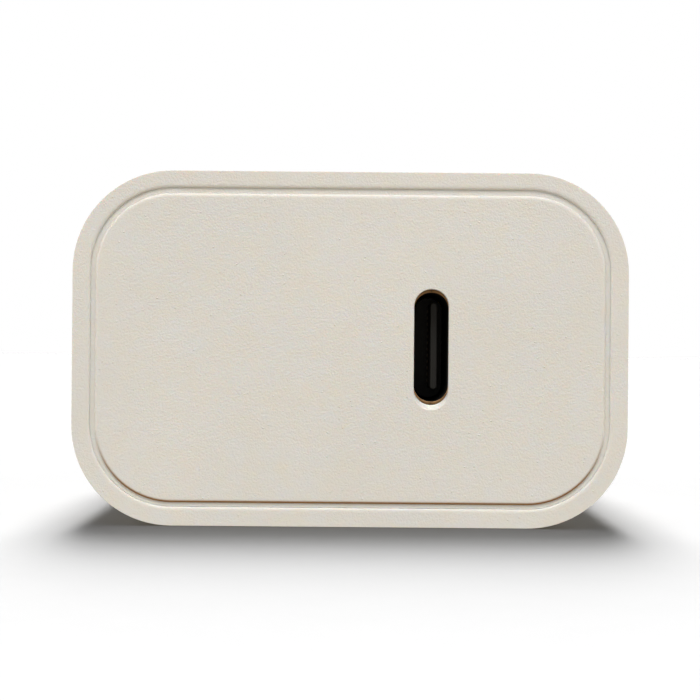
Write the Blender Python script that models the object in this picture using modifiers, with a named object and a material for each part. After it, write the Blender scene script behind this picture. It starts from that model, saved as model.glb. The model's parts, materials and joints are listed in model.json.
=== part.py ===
"""USB-C wall charger with a folding two-blade plug, in metres, +Z up.

The port face looks along -Y, the face that meets the wall lies in the plane Y = 0, and the
charger stands on one of its two long flat sides. The origin is the middle of the wall face.
"""

from math import asin, cos, degrees, pi, radians, sin

import bmesh
import bpy
from mathutils import Matrix, Vector

# Casing
BODY_WIDTH = 0.0428
BODY_HEIGHT = 0.0274
BODY_DEPTH = 0.0390
CORNER_RADIUS = 0.0077
WALL = 0.0016
GAP = 0.0002  # between pieces that touch on the real charger
OVERLAP = 0.0001  # how far shapes that become one piece run into each other
SKIRT = 0.0010  # thickness of the skirt that locates each cover in the housing
PAST = 0.0020  # how far a cutter runs on past the face it opens

# Rails that hold the main board by its long edges
RAIL_HEIGHT = 0.0008
RAIL_FRONT_Y = -0.0330
RAIL_REAR_Y = -0.0110
UPPER_RAIL_X = (0.0176, 0.0204)
LOWER_RAIL_X = (0.0166, 0.0194)

# Front cover
RIM = 0.0014
PANEL_INSET = 0.00175
GROOVE_DEPTH = 0.0004
FRONT_THICKNESS = 0.0019
FRONT_SKIRT_DEPTH = 0.0025
FRONT_Y = -BODY_DEPTH

# Port
PORT_X = 0.00625
PORT_Z = 0.0002
PORT_WIDTH = 0.00275
PORT_HEIGHT = 0.0087
LIP_THICKNESS = 0.0009
SHELL_WIDTH = 0.00316
SHELL_HEIGHT = 0.00894
SHELL_WALL = 0.0003
SHELL_LENGTH = 0.0073
TONGUE_WIDTH = 0.0007
TONGUE_HEIGHT = 0.00669
TONGUE_LENGTH = 0.0044

# Rear cover and folding plug
REAR_THICKNESS = 0.0024
REAR_SKIRT_DEPTH = 0.0026
PIVOT_Y = -0.0036
PIVOT_Z = 0.0088
ROTOR_RADIUS = 0.0030
ROTOR_LENGTH = 0.0194
TRUNNION_RADIUS = 0.00125
TRUNNION_LENGTH = 0.0015
BLADE_SPACING = 0.0127
BLADE_WIDTH = 0.00635
BLADE_THICKNESS = 0.0015
BLADE_REACH = 0.0199  # from the pivot to the tip
TANG_WIDTH = 0.0036
TANG_THICKNESS = 0.0012
SHOULDER = 0.0032  # from the pivot to where the full blade width starts
BLADE_HOLE_RADIUS = 0.00159
BLADE_HOLE_Y = 0.0119  # from the wall face
SLOT_CLEARANCE = 0.0004
BOSS_X = 0.0134
BOSS_Z = 0.0086
BOSS_RADIUS = 0.0015
PILOT_RADIUS = 0.00075
PILOT_LENGTH = 0.0045
SLOT_WALL = 0.0009
WINDOW_BELOW = 0.0006  # room between the rotor and the lower edge of its window
WINDOW_ABOVE = 0.0004
FINGER_RECESS_DEPTH = 0.0015
FINGER_RECESS_HEIGHT = 0.0045
BRACKET_FRONT_Y = -0.0073
BRACKET_THICKNESS = 0.0014
BRACKET_HALF_WIDTH = 0.0152
BRACKET_LOW_Z = 0.0056
BRACKET_HIGH_Z = 0.0117
FINGER_WIDTH = 0.0013
FINGER_HEIGHT = 0.0023

# Boards
BOARD_TOP_Z = -0.0086
BOARD_THICKNESS = 0.0010
BOARD_HALF_WIDTH = 0.0184
INPUT_BOARD_Y = -0.0100
USB_BOARD_THICKNESS = 0.0008

# Transformer
CORE_WIDTH = 0.0160
CORE_HEIGHT = 0.0166
CORE_DEPTH = 0.0085
CORE_BACK = 0.0030
CENTRE_LEG = 0.0050
OUTER_LEG = 0.0024
TRANSFORMER_X = -0.0089
TRANSFORMER_Y = -0.0265
BOBBIN_WALL = 0.0005

CORNER_STEPS = 10
ROUND_STEPS = 24
SIDES = ((-1, "left"), (1, "right"))
TURNS = {"X": (pi / 2, 0, pi / 2), "Y": (pi / 2, 0, 0), "Z": (0, 0, 0)}


# Setting up


def clear_scene():
    for obj in list(bpy.data.objects):
        bpy.data.objects.remove(obj, do_unlink=True)


def new_collection(name):
    collection = bpy.data.collections.new(name)
    bpy.context.scene.collection.children.link(collection)
    return collection


def material(name, colour, roughness, metallic=0.0):
    made = bpy.data.materials.new(name)
    made.use_nodes = True
    shader = made.node_tree.nodes["Principled BSDF"]
    shader.inputs["Base Color"].default_value = (*colour, 1.0)
    shader.inputs["Roughness"].default_value = roughness
    shader.inputs["Metallic"].default_value = metallic
    made.diffuse_color = (*colour, 1.0)
    return made


def make_materials():
    return {
        "shell_plastic": material("shell_plastic", (0.68, 0.64, 0.56), 0.5),
        "plug_plastic": material("plug_plastic", (0.64, 0.60, 0.52), 0.5),
        "blade_metal": material("blade_metal", (0.72, 0.69, 0.64), 0.3, 1.0),
        "bracket_plastic": material("bracket_plastic", (0.05, 0.05, 0.05), 0.6),
        "spring_bronze": material("spring_bronze", (0.75, 0.50, 0.25), 0.35, 1.0),
        "steel": material("steel", (0.60, 0.60, 0.60), 0.35, 1.0),
        "port_plastic": material("port_plastic", (0.02, 0.02, 0.02), 0.5),
        "board": material("board", (0.03, 0.18, 0.08), 0.4),
        "ferrite": material("ferrite", (0.07, 0.07, 0.08), 0.6),
        "bobbin_plastic": material("bobbin_plastic", (0.03, 0.03, 0.03), 0.5),
        "winding_tape": material("winding_tape", (0.85, 0.62, 0.08), 0.4),
        "copper": material("copper", (0.70, 0.28, 0.12), 0.3, 1.0),
        "capacitor_sleeve": material("capacitor_sleeve", (0.04, 0.05, 0.07), 0.35),
        "capacitor_can": material("capacitor_can", (0.75, 0.75, 0.76), 0.3, 1.0),
        "film_capacitor": material("film_capacitor", (0.80, 0.60, 0.10), 0.4),
        "disc_ceramic": material("disc_ceramic", (0.05, 0.20, 0.55), 0.4),
        "fuse_body": material("fuse_body", (0.45, 0.10, 0.06), 0.45),
        "chip": material("chip", (0.025, 0.025, 0.028), 0.5),
        "heat_metal": material("heat_metal", (0.80, 0.80, 0.80), 0.35, 1.0),
        "thermal_pad": material("thermal_pad", (0.45, 0.55, 0.65), 0.8),
        "insulation": material("insulation", (0.80, 0.78, 0.70), 0.6),
    }


# Shapes


def mesh_object(name, shape):
    """An object in the scene from a bmesh, which this frees."""
    mesh = bpy.data.meshes.new(name)
    shape.to_mesh(mesh)
    shape.free()
    piece = bpy.data.objects.new(name, mesh)
    bpy.context.scene.collection.objects.link(piece)
    return piece


def box(name, low, high):
    size = Vector(high) - Vector(low)
    shape = bmesh.new()
    bmesh.ops.create_cube(shape, size=1.0, matrix=Matrix.Diagonal((*size, 1.0)))
    piece = mesh_object(name, shape)
    piece.location = (Vector(low) + Vector(high)) / 2
    return piece


def cylinder(name, radius, length, axis, location):
    shape = bmesh.new()
    bmesh.ops.create_cone(
        shape,
        cap_ends=True,
        segments=ROUND_STEPS,
        radius1=radius,
        radius2=radius,
        depth=length,
    )
    piece = mesh_object(name, shape)
    piece.rotation_euler = TURNS[axis]
    piece.location = location
    return piece


def turned(name, profile, axis, location, closed=False):
    """A turned shape. The profile gives (radius, height) down its outer side, top to bottom."""
    shape = bmesh.new()
    points = [shape.verts.new((radius, 0, height)) for radius, height in profile]
    following = points[1:] + points[:1] if closed else points[1:]
    for start, end in zip(points, following):
        shape.edges.new((start, end))
    piece = mesh_object(name, shape)
    piece.rotation_euler = TURNS[axis]
    piece.location = location
    screw = piece.modifiers.new("Turn", "SCREW")
    screw.steps = screw.render_steps = ROUND_STEPS
    screw.use_merge_vertices = True
    screw.merge_threshold = 0.000001
    screw.use_smooth_shade = False
    return piece


def extruded(name, outlines, depth, axis, location):
    """A flat outline, with any further outlines as holes, made solid along one axis.

    Along Y the outline's two coordinates are X and Z, along X they are Y and Z.
    """
    curve = bpy.data.curves.new(name + "_outline", "CURVE")
    curve.dimensions = "2D"
    curve.fill_mode = "BOTH"
    curve.extrude = depth / 2
    for outline in outlines:
        spline = curve.splines.new("POLY")
        spline.points.add(len(outline) - 1)
        for point, (across, up) in zip(spline.points, outline):
            point.co = (across, up, 0, 1)
        spline.use_cyclic_u = True
    guide = bpy.data.objects.new(name + "_outline", curve)
    guide.rotation_euler = TURNS[axis]
    guide.location = location
    bpy.context.scene.collection.objects.link(guide)
    bpy.context.view_layer.update()
    graph = bpy.context.evaluated_depsgraph_get()
    flat = bpy.data.meshes.new_from_object(guide.evaluated_get(graph))
    shape = bmesh.new()
    shape.from_mesh(flat)
    bmesh.ops.remove_doubles(shape, verts=shape.verts, dist=0.000001)
    bmesh.ops.recalc_face_normals(shape, faces=shape.faces)
    piece = mesh_object(name, shape)
    piece.matrix_world = guide.matrix_world
    bpy.data.objects.remove(guide)
    bpy.data.curves.remove(curve)
    bpy.data.meshes.remove(flat)
    return piece


def ribbon(name, path, width, thickness, x):
    """A bent metal strip: its path runs in Y and Z, and its width lies along X."""
    shape = bmesh.new()
    points = [shape.verts.new((-width / 2, y, z)) for y, z in path]
    edges = [shape.edges.new(pair) for pair in zip(points, points[1:])]
    swept = bmesh.ops.extrude_edge_only(shape, edges=edges)["geom"]
    moved = [item for item in swept if isinstance(item, bmesh.types.BMVert)]
    bmesh.ops.translate(shape, verts=moved, vec=(width, 0, 0))
    piece = mesh_object(name, shape)
    piece.location = (x, 0, 0)
    solid = piece.modifiers.new("Thickness", "SOLIDIFY")
    solid.thickness = thickness
    solid.offset = 0
    solid.use_even_offset = True
    return piece


def arc(centre, radius, start, end, steps):
    """Points on an arc, from one angle to another in degrees."""
    angles = [radians(start + (end - start) * step / steps) for step in range(steps + 1)]
    return [(centre[0] + radius * cos(a), centre[1] + radius * sin(a)) for a in angles]


def rectangle(width, height, radius=0.0):
    """The outline of a rectangle about the origin, with round corners if it has a radius."""
    points = []
    for side_x, side_y, start in ((1, 1, 0), (-1, 1, 90), (-1, -1, 180), (1, -1, 270)):
        centre = (side_x * (width / 2 - radius), side_y * (height / 2 - radius))
        points += arc(centre, radius, start, start + 90, CORNER_STEPS) if radius else [centre]
    return points


def body_outline(inset):
    """The casing's outline, moved inwards all round."""
    return rectangle(BODY_WIDTH - 2 * inset, BODY_HEIGHT - 2 * inset, CORNER_RADIUS - inset)


def slot_outline(width, height):
    """A tall slot with round ends, each just short of a full half circle."""
    return rectangle(width, height, 0.49 * width)


# Joining, cutting and finishing


def combine(piece, helper, operation):
    modifier = piece.modifiers.new(helper.name, "BOOLEAN")
    modifier.operation = operation
    modifier.solver = "EXACT"
    modifier.object = helper
    helper.hide_render = True
    helper.display_type = "WIRE"
    helpers.append(helper)


def join(piece, *others):
    for other in others:
        combine(piece, other, "UNION")


def cut(piece, *cutters):
    for cutter in cutters:
        combine(piece, cutter, "DIFFERENCE")


def keep_inside(piece, limit):
    combine(piece, limit, "INTERSECT")


def finish(piece, name, round_piece=False):
    """Gives the piece its material, and shades it smooth across shallow angles if it is round."""
    piece.data.materials.append(materials[name])
    if round_piece and piece.data.polygons:
        piece.data.shade_smooth()
        piece.data.set_sharp_from_angle(angle=radians(35))
    for modifier in piece.modifiers:
        if modifier.type == "SCREW":
            modifier.use_smooth_shade = round_piece
    parts.append(piece)
    return piece


# Casing


def make_main_housing():
    rear_y = -REAR_THICKNESS - GAP
    sleeve = extruded(
        "main_housing",
        [body_outline(0), body_outline(WALL)],
        rear_y - FRONT_Y,
        "Y",
        (0, (rear_y + FRONT_Y) / 2, 0),
    )
    seat_depth = FRONT_THICKNESS + GAP
    seat = extruded("cover_seat", [body_outline(RIM)], 2 * seat_depth, "Y", (0, FRONT_Y, 0))
    over = BOARD_TOP_Z + GAP
    under = BOARD_TOP_Z - BOARD_THICKNESS - GAP - RAIL_HEIGHT
    for side, label in SIDES:
        for low_z, level, rail_x in ((over, "upper", UPPER_RAIL_X), (under, "lower", LOWER_RAIL_X)):
            edges = sorted(side * x for x in rail_x)
            rail = box(
                f"board_rail_{level}_{label}",
                (edges[0], RAIL_FRONT_Y, low_z),
                (edges[1], RAIL_REAR_Y, low_z + RAIL_HEIGHT),
            )
            join(sleeve, rail)
    cut(sleeve, seat)
    finish(sleeve, "shell_plastic", round_piece=True)


def make_front_cover():
    flange_y = FRONT_Y + GROOVE_DEPTH
    inner_y = FRONT_Y + FRONT_THICKNESS
    cover = extruded(
        "front_cover",
        [body_outline(RIM + GAP)],
        inner_y - flange_y,
        "Y",
        (0, (flange_y + inner_y) / 2, 0),
    )
    panel = extruded(
        "cover_panel",
        [body_outline(PANEL_INSET)],
        GROOVE_DEPTH + OVERLAP,
        "Y",
        (0, FRONT_Y + (GROOVE_DEPTH + OVERLAP) / 2, 0),
    )
    skirt_inset = WALL + GAP
    skirt = extruded(
        "cover_skirt",
        [body_outline(skirt_inset), body_outline(skirt_inset + SKIRT)],
        FRONT_SKIRT_DEPTH + OVERLAP,
        "Y",
        (0, inner_y + (FRONT_SKIRT_DEPTH - OVERLAP) / 2, 0),
    )
    aperture = extruded(
        "port_aperture",
        [slot_outline(PORT_WIDTH, PORT_HEIGHT)],
        4 * FRONT_THICKNESS,
        "Y",
        (PORT_X, FRONT_Y, PORT_Z),
    )
    recess = extruded(
        "port_recess",
        [slot_outline(SHELL_WIDTH + 2 * GAP, SHELL_HEIGHT + 2 * GAP)],
        2 * FRONT_THICKNESS,
        "Y",
        (PORT_X, FRONT_Y + LIP_THICKNESS + FRONT_THICKNESS, PORT_Z),
    )
    join(cover, panel, skirt)
    cut(cover, aperture, recess)
    finish(cover, "shell_plastic", round_piece=True)


def make_rear_cover():
    cover = extruded(
        "rear_cover", [body_outline(0)], REAR_THICKNESS, "Y", (0, -REAR_THICKNESS / 2, 0)
    )
    inner_y = -REAR_THICKNESS + OVERLAP
    skirt_inset = WALL + GAP
    skirt = extruded(
        "rear_skirt",
        [body_outline(skirt_inset), body_outline(skirt_inset + SKIRT)],
        REAR_SKIRT_DEPTH + OVERLAP,
        "Y",
        (0, inner_y - (REAR_SKIRT_DEPTH + OVERLAP) / 2, 0),
    )
    join(cover, skirt)

    slot_half = BLADE_THICKNESS / 2 + SLOT_CLEARANCE
    slot_floor = PIVOT_Y - BLADE_WIDTH / 2 - SLOT_CLEARANCE
    slot_end = PIVOT_Z - BLADE_REACH - SLOT_CLEARANCE
    window_half = ROTOR_LENGTH / 2 + GAP
    window_low = PIVOT_Z - ROTOR_RADIUS - WINDOW_BELOW
    window_high = PIVOT_Z + ROTOR_RADIUS + WINDOW_ABOVE
    cradle_radius = TRUNNION_RADIUS + GAP / 2
    cradle_end = window_half + TRUNNION_LENGTH
    boss_end = BRACKET_FRONT_Y + GAP
    ear_end = BOSS_X - SLOT_CLEARANCE

    for side, label in SIDES:
        middle = side * BLADE_SPACING / 2
        pocket = box(
            f"slot_walls_{label}",
            (middle - slot_half - SLOT_WALL, slot_floor - SLOT_WALL, slot_end - SLOT_WALL / 2),
            (middle + slot_half + SLOT_WALL, inner_y, window_low + SLOT_WALL / 2),
        )
        ear_edges = sorted((side * window_half, side * ear_end))
        ear = box(
            f"hinge_ear_{label}",
            (ear_edges[0], PIVOT_Y - 0.0028, PIVOT_Z - 0.0022),
            (ear_edges[1], inner_y, PIVOT_Z + 0.0025),
        )
        boss = cylinder(
            f"screw_boss_{label}",
            BOSS_RADIUS,
            inner_y - boss_end,
            "Y",
            (side * BOSS_X, (inner_y + boss_end) / 2, BOSS_Z),
        )
        join(cover, pocket, ear, boss)

    window = box(
        "rotor_window",
        (-window_half, slot_floor - PAST, window_low),
        (window_half, PAST, window_high),
    )
    cut(cover, window)
    for side, label in SIDES:
        middle = side * BLADE_SPACING / 2
        slot = box(
            f"blade_slot_{label}",
            (middle - slot_half, slot_floor, slot_end),
            (middle + slot_half, PAST, window_low + SLOT_WALL),
        )
        cradle_edges = sorted((side * (window_half - SLOT_WALL), side * cradle_end))
        cradle = box(
            f"trunnion_cradle_{label}",
            (cradle_edges[0], BRACKET_FRONT_Y - PAST, PIVOT_Z - cradle_radius),
            (cradle_edges[1], PIVOT_Y, PIVOT_Z + cradle_radius),
        )
        cradle_round = cylinder(
            f"trunnion_seat_{label}",
            cradle_radius,
            cradle_edges[1] - cradle_edges[0],
            "X",
            (sum(cradle_edges) / 2, PIVOT_Y, PIVOT_Z),
        )
        pilot = cylinder(
            f"screw_pilot_{label}",
            PILOT_RADIUS,
            PILOT_LENGTH,
            "Y",
            (side * BOSS_X, boss_end + PILOT_LENGTH / 2 - GAP, BOSS_Z),
        )
        cut(cover, slot, cradle, cradle_round, pilot)
    inner_edge = BLADE_SPACING / 2 - slot_half + OVERLAP
    recess = box(
        "finger_recess",
        (-inner_edge, -FINGER_RECESS_DEPTH, slot_end),
        (inner_edge, PAST, slot_end + FINGER_RECESS_HEIGHT),
    )
    cut(cover, recess)
    finish(cover, "shell_plastic", round_piece=True)


# Folding plug


def make_blade(side, label):
    """A blade whose narrower and thinner tang runs through the rotor and ends inside its radius."""
    place = (side * BLADE_SPACING / 2, PIVOT_Y, PIVOT_Z)
    half = BLADE_WIDTH / 2
    tip_radius = 0.0012
    tip = BLADE_REACH - tip_radius
    outline = [(SHOULDER, half), (SHOULDER, -half)]
    outline += arc((tip, -half + tip_radius), tip_radius, -90, 0, 6)
    outline += arc((tip, half - tip_radius), tip_radius, 0, 90, 6)
    hole = arc((BLADE_HOLE_Y - PIVOT_Y, 0), BLADE_HOLE_RADIUS, 0, 345, 23)
    blade = extruded(f"blade_{label}", [outline, hole], BLADE_THICKNESS, "X", place)

    tang_end = ROTOR_RADIUS - OVERLAP
    spread = degrees(asin(TANG_WIDTH / 2 / tang_end))
    tang_outline = arc((0, 0), tang_end, 180 - spread, 180 + spread, 6)
    tang_outline += [
        (SHOULDER + OVERLAP, -TANG_WIDTH / 2),
        (SHOULDER + OVERLAP, TANG_WIDTH / 2),
    ]
    tang = extruded(f"tang_{label}", [tang_outline], TANG_THICKNESS, "X", place)
    join(blade, tang)
    return finish(blade, "blade_metal", round_piece=True)


def make_plug():
    """The rotor and its blades, parented to an empty on the hinge's axis."""
    hinge = bpy.data.objects.new("plug_hinge", None)
    hinge.location = (0, PIVOT_Y, PIVOT_Z)
    hinge.empty_display_size = 0.01
    part_collection.objects.link(hinge)

    chamfer = 0.0008
    flat = ROTOR_RADIUS - chamfer
    section = [(ROTOR_RADIUS, flat), (flat, ROTOR_RADIUS)]
    section += arc((0, 0), ROTOR_RADIUS, 90, 360, 24)
    carrier = extruded("plug_carrier", [section], ROTOR_LENGTH, "X", (0, PIVOT_Y, PIVOT_Z))
    trunnions = cylinder(
        "trunnions",
        TRUNNION_RADIUS,
        ROTOR_LENGTH + 2 * TRUNNION_LENGTH - 2 * GAP,
        "X",
        (0, PIVOT_Y, PIVOT_Z),
    )
    join(carrier, trunnions)
    half_x = TANG_THICKNESS / 2 + GAP
    half_z = TANG_WIDTH / 2 + GAP
    for side, label in SIDES:
        middle = side * BLADE_SPACING / 2
        cut(
            carrier,
            box(
                f"tang_slot_{label}",
                (middle - half_x, PIVOT_Y - 0.005, PIVOT_Z - half_z),
                (middle + half_x, PIVOT_Y + 0.005, PIVOT_Z + half_z),
            ),
        )
    finish(carrier, "plug_plastic", round_piece=True)
    blades = [make_blade(side, label) for side, label in SIDES]
    bpy.context.view_layer.update()
    for piece in (carrier, *blades):
        piece.parent = hinge
        piece.matrix_parent_inverse = hinge.matrix_world.inverted()


def make_hinge_bracket():
    back_y = BRACKET_FRONT_Y - BRACKET_THICKNESS
    bracket = box(
        "hinge_bracket",
        (-BRACKET_HALF_WIDTH, back_y, BRACKET_LOW_Z),
        (BRACKET_HALF_WIDTH, BRACKET_FRONT_Y, BRACKET_HIGH_Z),
    )
    finger_start = ROTOR_LENGTH / 2 + 0.00035
    finger_tip = PIVOT_Y - TRUNNION_RADIUS - 0.00025
    for side, label in SIDES:
        edges = sorted((side * finger_start, side * (finger_start + FINGER_WIDTH)))
        finger = box(
            f"finger_{label}",
            (edges[0], BRACKET_FRONT_Y - OVERLAP, PIVOT_Z - FINGER_HEIGHT / 2),
            (edges[1], finger_tip, PIVOT_Z + FINGER_HEIGHT / 2),
        )
        join(bracket, finger)
    window_half_x = 0.0017
    window_half_z = 0.0018
    for side, label in SIDES:
        middle = side * BLADE_SPACING / 2
        window = box(
            f"contact_window_{label}",
            (middle - window_half_x, back_y - PAST, PIVOT_Z - window_half_z),
            (middle + window_half_x, BRACKET_FRONT_Y + PAST, PIVOT_Z + window_half_z),
        )
        hole = cylinder(
            f"screw_hole_{label}", 0.0008, 0.004, "Y", (side * BOSS_X, back_y, BOSS_Z)
        )
        cut(bracket, window, hole)
    finish(bracket, "bracket_plastic", round_piece=True)


def make_bracket_screws():
    """Pan-head screws with a cross recess. Turned along -Y, so heights run away from the wall."""
    head_y = -(BRACKET_FRONT_Y - BRACKET_THICKNESS - GAP)
    head_top = head_y + 0.0006
    profile = [
        (0, head_top),
        (0.0009, head_top),
        (0.0012, head_top - 0.0002),
        (0.0012, head_y),
        (0.00055, head_y),
        (0.00055, head_y - 0.0045),
        (0.0003, head_y - 0.0049),
        (0, head_y - 0.0049),
    ]
    for side, label in SIDES:
        x = side * BOSS_X
        screw = turned(f"bracket_screw_{label}", profile, "Y", (x, 0, BOSS_Z))
        long_half = 0.0007
        thin_half = 0.00014
        for number, (half_x, half_z) in enumerate(
            ((long_half, thin_half), (thin_half, long_half)), 1
        ):
            groove = box(
                f"recess_{label}_{number}",
                (x - half_x, -head_top - 0.0005, BOSS_Z - half_z),
                (x + half_x, -head_top + 0.0003, BOSS_Z + half_z),
            )
            cut(screw, groove)
        finish(screw, "steel", round_piece=True)


def make_springs():
    board_y = INPUT_BOARD_Y + GAP + 0.0001
    contact_y = PIVOT_Y - ROTOR_RADIUS - 0.0003
    path = [
        (board_y, 0.0030),
        (board_y, 0.0068),
        (contact_y - 0.0005, PIVOT_Z - 0.0008),
        (contact_y, PIVOT_Z),
        (contact_y - 0.0005, PIVOT_Z + 0.0008),
    ]
    for side, label in SIDES:
        x = side * BLADE_SPACING / 2
        spring = ribbon(f"contact_spring_{label}", path, 0.0026, 0.0002, x)
        finish(spring, "spring_bronze")

    leaf = [
        (-0.00705, 0.0062),
        (-0.00695, 0.0075),
        (-0.00688, PIVOT_Z),
        (-0.00695, 0.0101),
        (-0.00705, 0.0112),
    ]
    finish(ribbon("detent_spring", leaf, 0.0070, 0.0002, 0), "steel")


# Port


def make_usb_port():
    shell_y = FRONT_Y + LIP_THICKNESS + GAP
    shell = extruded(
        "usb_shell",
        [
            slot_outline(SHELL_WIDTH, SHELL_HEIGHT),
            slot_outline(SHELL_WIDTH - 2 * SHELL_WALL, SHELL_HEIGHT - 2 * SHELL_WALL),
        ],
        SHELL_LENGTH,
        "Y",
        (PORT_X, shell_y + SHELL_LENGTH / 2, PORT_Z),
    )
    finish(shell, "steel", round_piece=True)

    block_length = 0.0025
    block_y = shell_y + SHELL_LENGTH - block_length + GAP
    inset = 2 * (SHELL_WALL + GAP)
    block = extruded(
        "usb_insulator",
        [slot_outline(SHELL_WIDTH - inset, SHELL_HEIGHT - inset)],
        block_length,
        "Y",
        (PORT_X, block_y + block_length / 2, PORT_Z),
    )
    tongue = box(
        "usb_tongue",
        (PORT_X - TONGUE_WIDTH / 2, block_y - TONGUE_LENGTH, PORT_Z - TONGUE_HEIGHT / 2),
        (PORT_X + TONGUE_WIDTH / 2, block_y + OVERLAP, PORT_Z + TONGUE_HEIGHT / 2),
    )
    join(block, tongue)
    finish(block, "port_plastic", round_piece=True)

    board_x = PORT_X + SHELL_WIDTH / 2 + GAP
    board = box(
        "usb_board",
        (board_x, -0.0358, BOARD_TOP_Z + GAP),
        (board_x + USB_BOARD_THICKNESS, -0.0198, 0.0092),
    )
    finish(board, "board")
    chip_x = board_x + USB_BOARD_THICKNESS + GAP
    make_chip("sync_rectifier", (chip_x, -0.0340, 0.0015), (chip_x + 0.0011, -0.0290, 0.0075))
    make_chip("pd_controller", (chip_x, -0.0270, 0.0020), (chip_x + 0.0009, -0.0230, 0.0060))


# Circuit


def make_chip(name, low, high):
    chip = box(name, low, high)
    edge = chip.modifiers.new("Edges", "BEVEL")
    edge.width = 0.00015
    edge.segments = 1
    finish(chip, "chip")


def capacitor_profile(radius, length, groove):
    """A can with rounded rims and, near its base, the groove that crimps the bung."""
    edge = 0.0004
    half = length / 2
    return [
        (0, half),
        (radius - edge, half),
        (radius, half - edge),
        (radius, -half + 0.0024),
        (radius - groove, -half + 0.0019),
        (radius, -half + 0.0014),
        (radius, -half + edge),
        (radius - edge, -half),
        (0, -half),
    ]


def make_capacitors():
    radius = 0.0040
    length = 0.0155
    place_y = INPUT_BOARD_Y - BOARD_THICKNESS - 0.0003 - radius
    place_z = BOARD_TOP_Z + 0.0004 + radius
    for side, label in SIDES:
        can = turned(
            f"input_capacitor_{label}",
            capacitor_profile(radius, length, 0.0004),
            "X",
            (side * (0.0016 + length / 2), place_y, place_z),
        )
        finish(can, "capacitor_sleeve", round_piece=True)
    radius = 0.00315
    height = 0.0092
    for name, y in (("output_capacitor_front", -0.0300), ("output_capacitor_rear", -0.0230)):
        can = turned(
            name,
            capacitor_profile(radius, height, 0.0003),
            "Z",
            (0.0138, y, BOARD_TOP_Z + 0.0003 + height / 2),
        )
        finish(can, "capacitor_can", round_piece=True)


def disc(name, radius, thickness, axis, location, finish_name):
    """A dipped disc component with a rounded edge."""
    edge = thickness * 0.35
    half = thickness / 2
    profile = [
        (0, half),
        (radius - edge, half),
        (radius, half - edge),
        (radius, -half + edge),
        (radius - edge, -half),
        (0, -half),
    ]
    finish(turned(name, profile, axis, location), finish_name, round_piece=True)


def ring_profile(inner, outer, height):
    half = height / 2
    return [(outer, half), (outer, -half), (inner, -half), (inner, half)]


def make_choke():
    """A toroid standing on the input board, with one winding on each side of it."""
    place = (-0.0008, -0.0145, 0.0060)
    inner = 0.0021
    outer = 0.0038
    height = 0.0034
    core = turned("choke_core", ring_profile(inner, outer, height), "Y", place, closed=True)
    finish(core, "ferrite", round_piece=True)
    wire = 0.0007
    split = 0.0008
    reach = 0.007
    for side, label in SIDES:
        winding = turned(
            f"choke_winding_{label}",
            ring_profile(inner - GAP - wire, outer + GAP + wire, height + 2 * (GAP + wire)),
            "Y",
            place,
            closed=True,
        )
        hollow = turned(
            f"choke_space_{label}",
            ring_profile(inner - GAP, outer + GAP, height + 2 * GAP),
            "Y",
            place,
            closed=True,
        )
        edges = sorted((place[0] + side * split, place[0] + side * reach))
        limit = box(
            f"choke_side_{label}",
            (edges[0], place[1] - reach, place[2] - reach),
            (edges[1], place[1] + reach, place[2] + reach),
        )
        cut(winding, hollow)
        keep_inside(winding, limit)
        finish(winding, "copper", round_piece=True)


def make_input_board():
    back_y = INPUT_BOARD_Y - BOARD_THICKNESS
    board = box(
        "input_board", (-0.0160, back_y, BOARD_TOP_Z + GAP), (0.0160, INPUT_BOARD_Y, 0.0106)
    )
    finish(board, "board")
    film = box("x_capacitor", (0.0052, back_y - 0.0058, 0.0016), (0.0164, back_y - GAP, 0.0100))
    edge = film.modifiers.new("Edges", "BEVEL")
    edge.width = 0.0004
    edge.segments = 2
    finish(film, "film_capacitor", round_piece=True)
    cap = 0.0018
    tube = 0.0016
    half = 0.0040
    band = 0.0014
    fuse = turned(
        "fuse",
        [(0, half), (cap, half), (cap, half - band), (tube, half - band)]
        + [(tube, band - half), (cap, band - half), (cap, -half), (0, -half)],
        "X",
        (-0.0105, back_y - GAP - cap, 0.0087),
    )
    finish(fuse, "fuse_body", round_piece=True)
    disc("varistor", 0.0031, 0.0030, "Y", (-0.0115, back_y - 0.0018, 0.0035), "disc_ceramic")


def make_main_board():
    back_y = INPUT_BOARD_Y - GAP
    bottom = BOARD_TOP_Z - BOARD_THICKNESS
    board = box(
        "main_board",
        (-BOARD_HALF_WIDTH, -0.0342, bottom),
        (BOARD_HALF_WIDTH, back_y, BOARD_TOP_Z),
    )
    finish(board, "board")
    top = bottom - GAP
    make_chip("bridge_rectifier", (0.0060, -0.0186, top - 0.0016), (0.0125, -0.0134, top))
    make_chip("primary_controller", (-0.0115, -0.0200, top - 0.0013), (-0.0065, -0.0140, top))
    make_chip("optocoupler", (-0.0008, -0.0262, top - 0.0016), (0.0036, -0.0194, top))
    sheet_z = -BODY_HEIGHT / 2 + WALL + GAP
    sheet = box(
        "insulation_sheet", (-0.0135, -0.0340, sheet_z), (0.0135, -0.0104, sheet_z + 0.0002)
    )
    finish(sheet, "insulation")


def make_filter_inductor():
    """A drum core with its winding between the flanges."""
    place = (0.0032, -0.0224, BOARD_TOP_Z + 0.0037)
    rim = 0.0027
    waist = 0.0013
    half = 0.0034
    flange = 0.0009
    core = turned(
        "filter_inductor",
        [(0, half), (rim, half), (rim, half - flange), (waist, half - flange)]
        + [(waist, flange - half), (rim, flange - half), (rim, -half), (0, -half)],
        "Z",
        place,
    )
    finish(core, "ferrite", round_piece=True)
    winding = turned(
        "inductor_winding",
        ring_profile(waist + GAP, rim - 0.0002, 2 * (half - flange - GAP)),
        "Z",
        place,
        closed=True,
    )
    finish(winding, "copper", round_piece=True)
    disc("y_capacitor", 0.0031, 0.0024, "Y", (0.0032, -0.0278, -0.0050), "disc_ceramic")


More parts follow.
